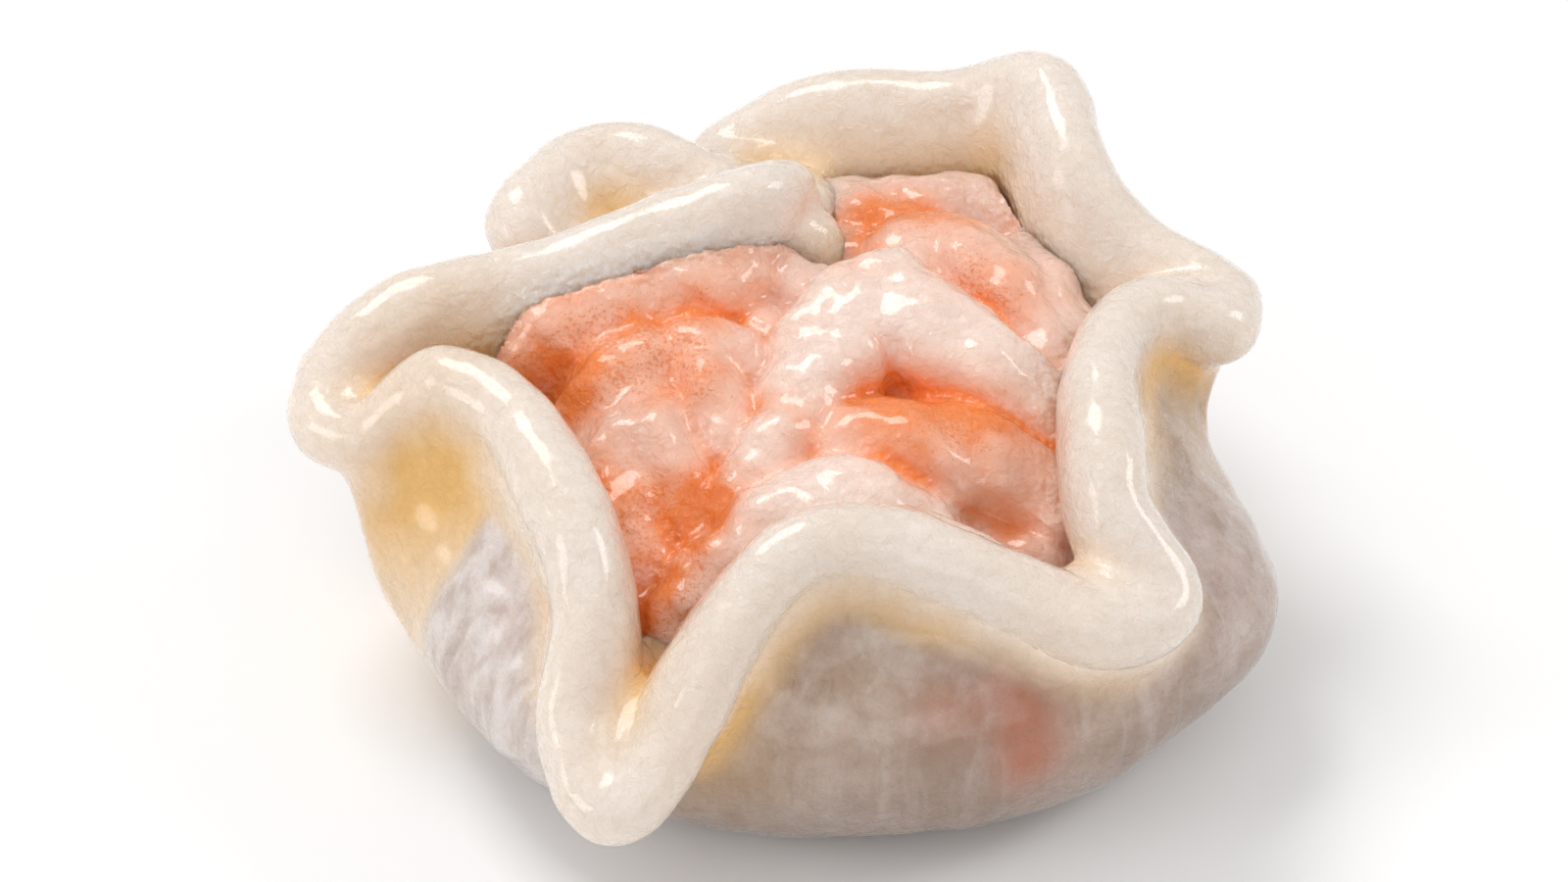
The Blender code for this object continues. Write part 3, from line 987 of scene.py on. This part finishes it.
ticks = np.arange(-FIELD_HALF, FIELD_HALF + FIELD_STEP / 2, FIELD_STEP)
field_x, field_y = np.meshgrid(ticks, ticks, indexing="ij")
field = CORE_HEIGHT - CORE_FALL * (field_x**2 + field_y**2)
for x, y, z, r in np.concatenate(list(balls.values())):
    room_above = r**2 - (field_x - x) ** 2 - (field_y - y) ** 2
    field = np.maximum(field, z + np.sqrt(np.maximum(room_above, 0)) - 99 * (room_above <= 0))
field = eased_field(field, FIELD_STEP, CORE_EASE) - CORE_DROP


def core_height(x, y):
    """Height of the minced shrimp's eased top at (x, y)."""
    return read_table(field, x + FIELD_HALF, y + FIELD_HALF, FIELD_STEP, FIELD_STEP)


def core_rows(columns=300, sides=10, rings=90):
    """Minced shrimp: flat base, sides at the room's radius, top at core_height.

    At d from the wall the top stands CLIMB exp(-d / CLIMB_WIDTH) higher.
    """
    bearing = np.linspace(0, 2 * np.pi, columns, endpoint=False)
    around = compass(bearing)
    radius = room_radius(bearing, np.full(columns, CORE_HEIGHT)) + CORE_REACH
    for _ in range(4):
        spot = around * radius[:, None]
        top = core_height(spot[:, 0], spot[:, 1])
        radius = room_radius(bearing, top + CLIMB) + CORE_REACH
    top += CLIMB
    low = ROOM_BASE + 0.5
    rows = []
    for t in np.linspace(0, 1, sides):
        z = low + (top - low) * t
        out = np.minimum(room_radius(bearing, z) + CORE_REACH, np.hypot(*spot.T[:2]) + 3)
        rows.append(around * out[:, None] + [0, 0, 1] * z[:, None])
    edge = rows[-1]
    far = np.hypot(edge[:, 0], edge[:, 1])
    for f in np.linspace(1, 0, rings + 1)[1:-1]:
        ring = edge * [f, f, 0]
        ring[:, 2] = core_height(ring[:, 0], ring[:, 1])
        ring[:, 2] += CLIMB * np.exp(-(1 - f) * far / CLIMB_WIDTH)
        rows.append(ring)
    return np.stack(rows)


shells = [core_rows()]
for lobes in LOBES.values():
    shells += [tube_rows(lobe, rings=80, columns=60, lumps=0.05) for lobe in lobes]
filling = solid("shrimp_filling", shells)
fuse(filling, FLESH_GRAIN, FLESH_EASING)
points = read(filling.data)
lumps = 0.13 * waves(points, length=4.5, seed=11)
lumps += 0.045 * waves(points, length=1.7, seed=12)
normals = read(filling.data, "normal")
crease = curvature(filling.data, points, normals, CREASE_ROUNDS)
lumps -= CREASE_GAIN * np.clip(crease, -0.6, 0.6)  # creases deeper, crests higher
points = press_in(points + normals * lumps[:, None])
move(filling.data, points)
wall_gap = room_radius(np.arctan2(points[:, 1], points[:, 0]), points[:, 2])
wall_gap -= np.hypot(points[:, 0], points[:, 1])
at_wall = np.exp(-np.clip(wall_gap, 0, None) / WALL_FADE)
PINKNESS = {  # 0 pale to 1 pink; the other pieces are in between
    "shrimp_centre": -0.1,
    "shrimp_front": 0.0,
    "shrimp_middle": 0.25,
    "shrimp_low_right": 0.8,
}
near = {name: np.exp(-7.0 * depth_in(points, balls[name])) for name in LOBES}
tone = sum(near[name] * PINKNESS.get(name, 0.5) for name in LOBES) / sum(near.values())
set_attribute(filling.data, "crease", np.clip(crease, -1, 1))
set_attribute(filling.data, "at_wall", at_wall)
set_attribute(filling.data, "blush", blush(points))
set_attribute(filling.data, "tone", tone)
filling.data.materials.append(flesh("steamed_shrimp"))
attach(filling, "root")
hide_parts("minced_core", *LOBES)


# The dough is moist and lets light through: cream on its rounded edge, and over
# the filling it goes grey and shows pink. Amber is painted away from the edge and
# in the folds: painted glow of light through and between its layers, and painted
# shade in the folds.
# Painted glow: spots where amber is painted on the dough for the light that shines through
# and between its layers.
PAINTED_GLOW_SPOTS = (  # where it glows: x, y, z, radius and strength
    (-18.9, -3.0, 13.3, 5.2, 1.3),
    (-21.0, -5.0, 11.0, 3.4, 0.35),
    (-20.0, -6.5, 7.0, 3.4, 0.1),
    (-7.8, -17.6, 10.0, 3.4, 1.15),
    (-7.4, -20.2, 9.0, 2.4, 0.7),
    (17.3, 0.6, 12.0, 3.8, 1.15),
    (18.1, -1.0, 9.5, 3.0, 0.7),
    (5.4, 17.2, 13.6, 4.0, 0.45),
    (-1.6, 17.6, 12.6, 3.4, 0.4),
    (9.0, 15.5, 14.6, 3.4, 0.35),
    (-12.0, 12.6, 12.6, 3.4, 0.2),
    (-17.8, 2.6, 13.6, 3.4, 0.5),
    (1.2, -18.2, 11.8, 4.0, 0.4),
    (12.2, -16.8, 9.8, 3.4, 0.3),
    (-4.8, -20.2, 7.0, 3.8, 0.6),
)
LEFT_FOLD = -167  # bearing of the fold that stands clear of the filling
# Painted light: the skin is painted paler round this bearing on the left flank, where the
# light falls on it.
LIT_LEFT_BEARING = -138  # bearing of the palest part of the skin
FOLD_ROUNDS = 300  # rounds of easing that tell the folds' valleys from their crests
SAMPLES = (260, 26)  # columns and rows of the sheet that the dough is matched to


def turned_from(bearing, degrees):
    """Degrees between a bearing in radians and one in degrees, 0 to 180."""
    return np.abs((np.degrees(bearing) - degrees + 180) % 360 - 180)


def beside_sheet(points):
    """How far out past the dough's middle each point is, and how far up the wall.

    Both are read at the nearest sample of the middle: (p - m) . n, and m's share.
    """
    columns, rise = SAMPLES
    middle = sheet(columns, rise, corner=8)[0]
    share = np.repeat(wall_share(middle, rise), columns)
    normal = outward_normals(middle).reshape(-1, 3)
    middle = middle.reshape(-1, 3)
    near = kdtree.KDTree(len(middle))
    for number, spot in enumerate(middle):
        near.insert(spot, number)
    near.balance()
    closest = np.array([near.find(spot)[1] for spot in points])
    across = (points - middle[closest]) * normal[closest]
    return across.sum(1), share[closest]


valley = curvature(wrapper.data, dough, facing, FOLD_ROUNDS)
bearing = np.arctan2(dough[:, 1], dough[:, 0])
away = np.hypot(dough[:, 0], dough[:, 1])
above_core = dough[:, 2] - core_height(dough[:, 0], dough[:, 1])
core_gap = np.maximum(above_core, away - room_radius(bearing, dough[:, 2]))
some_balls = np.concatenate(list(balls.values()))[::2]
filling_gap = np.minimum(depth_in(dough, some_balls), core_gap)
edge_path = free_edge(400)[0]
rim = np.min([np.linalg.norm(dough - point, axis=1) for point in edge_path], axis=0)
across, up_wall = beside_sheet(dough)
up_wall += 0.05 * waves(dough, length=8.0, seed=5)
# The skin over the filling: outside, not far up the wall, not far past the
# belly, clear of the left fold, and clear of the free edge.
skin = np.clip(0.5 + across, 0, 1) * np.clip((0.8 - up_wall) / 0.3, 0, 1)
skin *= np.clip((7.0 - (away - body_radius(bearing))) / 3.0, 0, 1)
skin *= np.clip((turned_from(bearing, LEFT_FOLD) - 13) / 3.5, 0, 1)
skin *= np.clip((rim - 2.0) / 2.4, 0, 1)
# Painted glow: the spots summed, kept weaker on the crests.
glow = sum(
    strength * np.exp(-((dough - [x, y, z]) ** 2).sum(1) / radius**2)
    for x, y, z, radius, strength in PAINTED_GLOW_SPOTS
)
off_crest = np.clip(np.maximum((rim - 1.8) / 2.4, valley + 0.5), 0, 1)
glow *= 0.36 + 0.64 * off_crest  # crests stay pale
set_attribute(wrapper.data, "valley", np.clip(valley, -2, 2))
set_attribute(wrapper.data, "filling_gap", np.clip(filling_gap, 0, 9))
set_attribute(wrapper.data, "skin", skin)
set_attribute(wrapper.data, "amber", np.clip(glow, 0, 1))
set_attribute(wrapper.data, "rim", np.clip(rim, 0, 12))
set_attribute(wrapper.data, "height", dough[:, 2])
# Painted light on the left flank of the skin.
painted_light_left = np.clip((26 - turned_from(bearing, LIT_LEFT_BEARING)) / 14, 0, 1)
set_attribute(wrapper.data, "left", 0.6 * painted_light_left)
set_attribute(wrapper.data, "blush", blush(dough))

EDGE_CREAM = (0.87, 0.75, 0.65)
EDGE_PALE = (0.91, 0.81, 0.73)
# painted glow away from the rounded edge
PAINTED_GLOW_BELOW_EDGE = (0.88, 0.67, 0.47)
# painted glow and painted shade for the folds
PAINTED_FOLD_AMBER = (0.84, 0.48, 0.15)
SKIN_DARK = (0.40, 0.27, 0.20)
SKIN_LIGHT = (0.61, 0.47, 0.41)
SKIN_STREAK = (0.80, 0.72, 0.67)
# painted glow on the skin
PAINTED_SKIN_GLOW = (0.56, 0.34, 0.14)
# painted shade near the table
PAINTED_SHADE_LOW = (0.28, 0.19, 0.14)
# painted light on the left flank
SKIN_PAINTED_LIGHT = (0.84, 0.76, 0.72)
SHRIMP_THROUGH = (0.50, 0.17, 0.09)

dough_look, tree = new_material("steamed_dough")
place = object_place(tree)
gap = attribute(tree, "filling_gap")
# Painted glow and shade: amber in the dough's valleys and at the glow spots.
deep = math(tree, "MULTIPLY", ramp(tree, attribute(tree, "valley"), -0.15, 1.0), 0.8)
deep = math(tree, "ADD", deep, attribute(tree, "amber"), clamp=True)
over_filling = ramp(tree, attribute(tree, "skin"), 0.0, 1.0)
touching = math(tree, "SUBTRACT", 1.0, ramp(tree, gap, 0.2, 1.4))
grain, blotch = damp(tree, place, 1.0, touching)
drawn_up = {"Vector": place, "Scale": (1.0, 1.0, 0.13)}
stretched = node(tree, "ShaderNodeMapping", drawn_up).outputs[0]
streaks = noise(tree, stretched, 800.0, 4.0, 0.55, 0.3)
cloud = noise(tree, place, 170.0, 5.0, 0.62)
# Painted glow: the dough turns amber away from its rounded edge, for light passing through
# and bouncing inside it.
below = ramp(tree, attribute(tree, "rim"), 1.3, 4.6)
colour = mix(tree, ramp(tree, blotch, 0.3, 0.7), EDGE_CREAM, EDGE_PALE)
colour = mix(tree, below, colour, PAINTED_GLOW_BELOW_EDGE)
colour = mix(tree, deep, colour, PAINTED_FOLD_AMBER)
greys = mix(tree, ramp(tree, cloud, 0.34, 0.66), SKIN_DARK, SKIN_LIGHT)
streaked = math(tree, "MULTIPLY", ramp(tree, streaks, 0.42, 0.75), 0.4)
greys = mix(tree, streaked, greys, SKIN_STREAK)
# Painted glow on the skin over the filling, at the glow spots.
amber = math(tree, "MULTIPLY", attribute(tree, "amber"), 0.6)
greys = mix(tree, amber, greys, PAINTED_SKIN_GLOW)
# Painted shade: the skin grows darker towards the table, where less light reaches it.
out_of_painted_shade = ramp(tree, attribute(tree, "height"), -3.0, 12.0)
greys = mix(tree, out_of_painted_shade, PAINTED_SHADE_LOW, greys)
# Painted light: on the left flank the skin's white streaks are laid on more strongly and the
# skin is made paler, where the light falls.
left = attribute(tree, "left")
pale = math(tree, "MULTIPLY", left, ramp(tree, streaks, 0.3, 0.62))
pale = math(tree, "ADD", pale, math(tree, "MULTIPLY", left, 0.45))
greys = mix(tree, pale, greys, SKIN_PAINTED_LIGHT)
cloudy = ramp(tree, cloud, 0.05, 0.6)
shows = math(tree, "MULTIPLY", attribute(tree, "blush"), cloudy, clamp=True)
greys = mix(tree, shows, greys, SHRIMP_THROUGH)
colour = mix(tree, over_filling, colour, greys)
grain = math(tree, "ADD", grain, math(tree, "MULTIPLY", streaks, over_filling))
finish_material(
    tree,
    colour,
    roughness=0.19,
    height=grain,
    depth=0.0005,
    values={
        "Subsurface Weight": 1.0,
        "Subsurface Radius": (1.0, 0.62, 0.34),
        "Subsurface Scale": 0.0024,
        "IOR": 1.4,
        "Coat Weight": 1.0,
        "Coat IOR": 1.4,
        "Coat Roughness": 0.09,
    },
)
wrapper.data.materials.append(dough_look)


# A plain pale table in soft studio light: a broad lamp overhead, weaker ones
# at both sides and in front, and a lit room all round.
table_corners = [(-2, -2, 0), (2, -2, 0), (2, 2, 0), (-2, 2, 0)]
table_mesh = bpy.data.meshes.new("table")
table_mesh.from_pydata(table_corners, [], [(0, 1, 2, 3)])
table = bpy.data.objects.new("table", table_mesh)
bpy.context.scene.collection.objects.link(table)
table_look, tree = new_material("pale_table")
plain_paint = {"Base Color": (0.97, 0.97, 0.97, 1), "Roughness": 0.9}
plain = node(tree, "ShaderNodeBsdfPrincipled", plain_paint)
node(tree, "ShaderNodeOutputMaterial", {"Surface": plain.outputs[0]})
table_mesh.materials.append(table_look)

room_light = bpy.data.worlds.new("room")
room_light.use_nodes = True
background = room_light.node_tree.nodes["Background"]
background.inputs["Color"].default_value = (1.0, 1.0, 1.0, 1.0)
background.inputs["Strength"].default_value = 0.56
bpy.context.scene.world = room_light

LAMPS_AIM = Vector((0, 0, 0.01))
for label, spot, size, power in (
    ("overhead", (-0.17, 0.21, 0.40), 0.20, 0.95),
    ("left", (-0.36, -0.10, 0.16), 0.14, 0.30),
    ("right", (0.36, 0.04, 0.28), 0.14, 0.42),
    ("front", (0.06, -0.40, 0.24), 0.20, 0.20),
):
    lamp = bpy.data.lights.new(label, "AREA")
    lamp.size = size
    lamp.energy = power
    holder = bpy.data.objects.new(label, lamp)
    holder.location = spot
    aim = LAMPS_AIM - Vector(spot)
    holder.rotation_euler = aim.to_track_quat("-Z", "Y").to_euler()
    bpy.context.scene.collection.objects.link(holder)

# The camera looks down from the front, from 42 degrees above the table.
CAMERA_AIM = Vector((0.0001, 0.0071, 0.0057))
CAMERA_RISE = np.radians(42)
CAMERA_AWAY = 0.264
lens = bpy.data.cameras.new("camera")
lens.lens = 120
lens.clip_start = 0.01
camera = bpy.data.objects.new("camera", lens)
toward = Vector((0, np.cos(CAMERA_RISE), -np.sin(CAMERA_RISE)))
camera.location = CAMERA_AIM - toward * CAMERA_AWAY
camera.rotation_euler = toward.to_track_quat("-Z", "Y").to_euler()
bpy.context.scene.collection.objects.link(camera)
bpy.context.scene.camera = camera
bpy.context.scene.view_settings.view_transform = "Standard"

bpy.context.view_layer.update()
